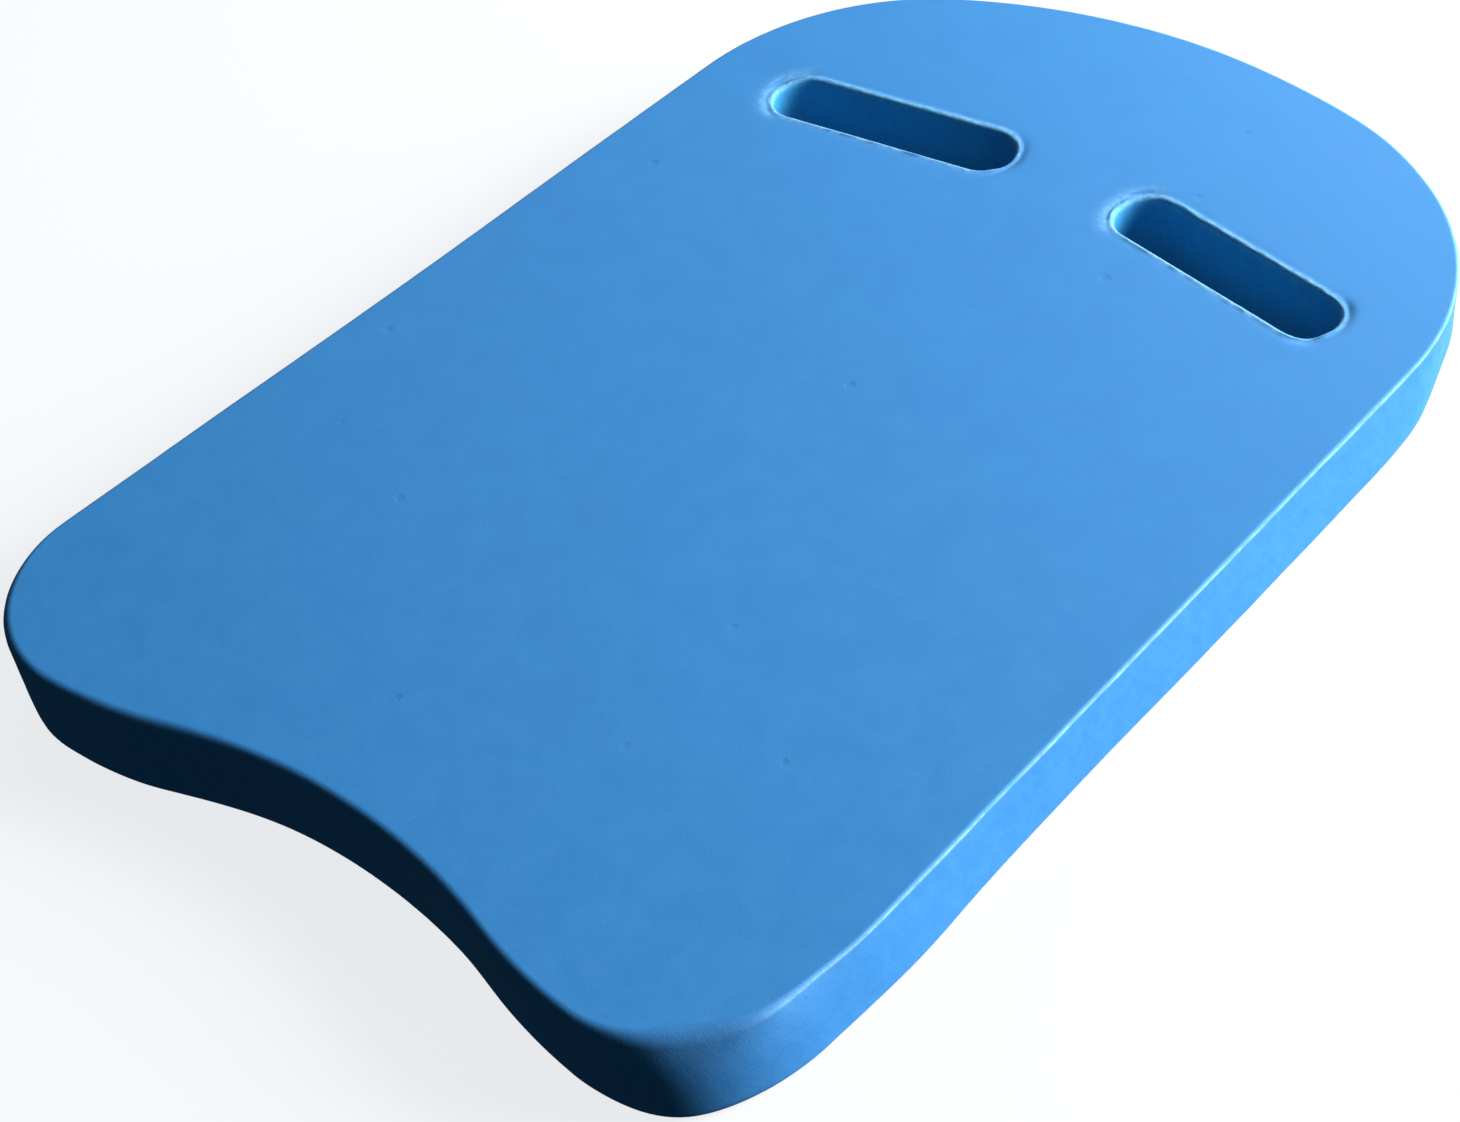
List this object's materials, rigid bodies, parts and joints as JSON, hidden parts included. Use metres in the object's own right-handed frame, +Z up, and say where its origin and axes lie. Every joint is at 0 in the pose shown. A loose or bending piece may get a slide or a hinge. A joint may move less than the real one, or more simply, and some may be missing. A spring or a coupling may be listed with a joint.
{
  "type": "kickboard float",
  "caption": "Flat foam swimming board with a rounded nose, two hand slots behind it, straight sides and a tail with rounded corners and a shallow hollow.",
  "frame": {"origin": "middle of the footprint, on the underside", "axes": "+Y to the nose, +X to the right side seen from above, +Z up through the thickness"},
  "size_m": [0.305, 0.43, 0.0275],
  "materials": {
    "foam": "closed-cell EVA foam, matte with a faint skin sheen on the faces and a finely pored cut wall"
  },
  "bodies": {
    "root": {"foam_board": "foam"}
  },
  "joints": []
}
